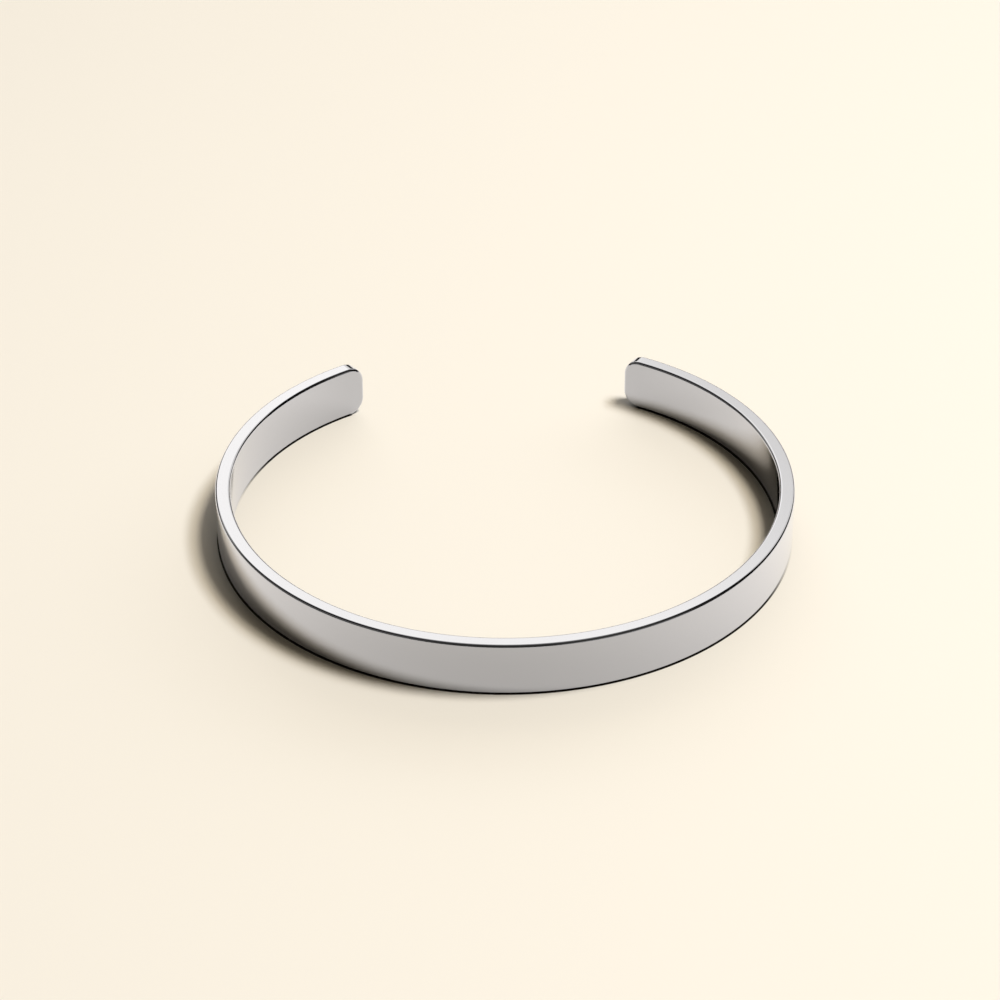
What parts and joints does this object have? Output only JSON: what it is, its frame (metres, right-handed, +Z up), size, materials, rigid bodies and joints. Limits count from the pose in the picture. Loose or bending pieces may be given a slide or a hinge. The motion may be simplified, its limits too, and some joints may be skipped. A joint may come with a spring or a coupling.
{
  "type": "cuff bangle",
  "caption": "Plain open cuff bangle: one flat, polished steel bar with softened edges and rounded tips, bent round and left open at the back.",
  "frame": {"origin": "centre of the cuff's box, on the surface that it lies on", "axes": "+Z up from the surface, along the wearer's forearm; -Y to the middle of the front; +Y out through the gap"},
  "size_m": [0.0624, 0.0572, 0.006],
  "materials": {
    "polished_steel": "stainless steel polished to a mirror, with faint polish marks along the bar"
  },
  "bodies": {
    "root": {"cuff": "polished_steel"}
  },
  "joints": []
}
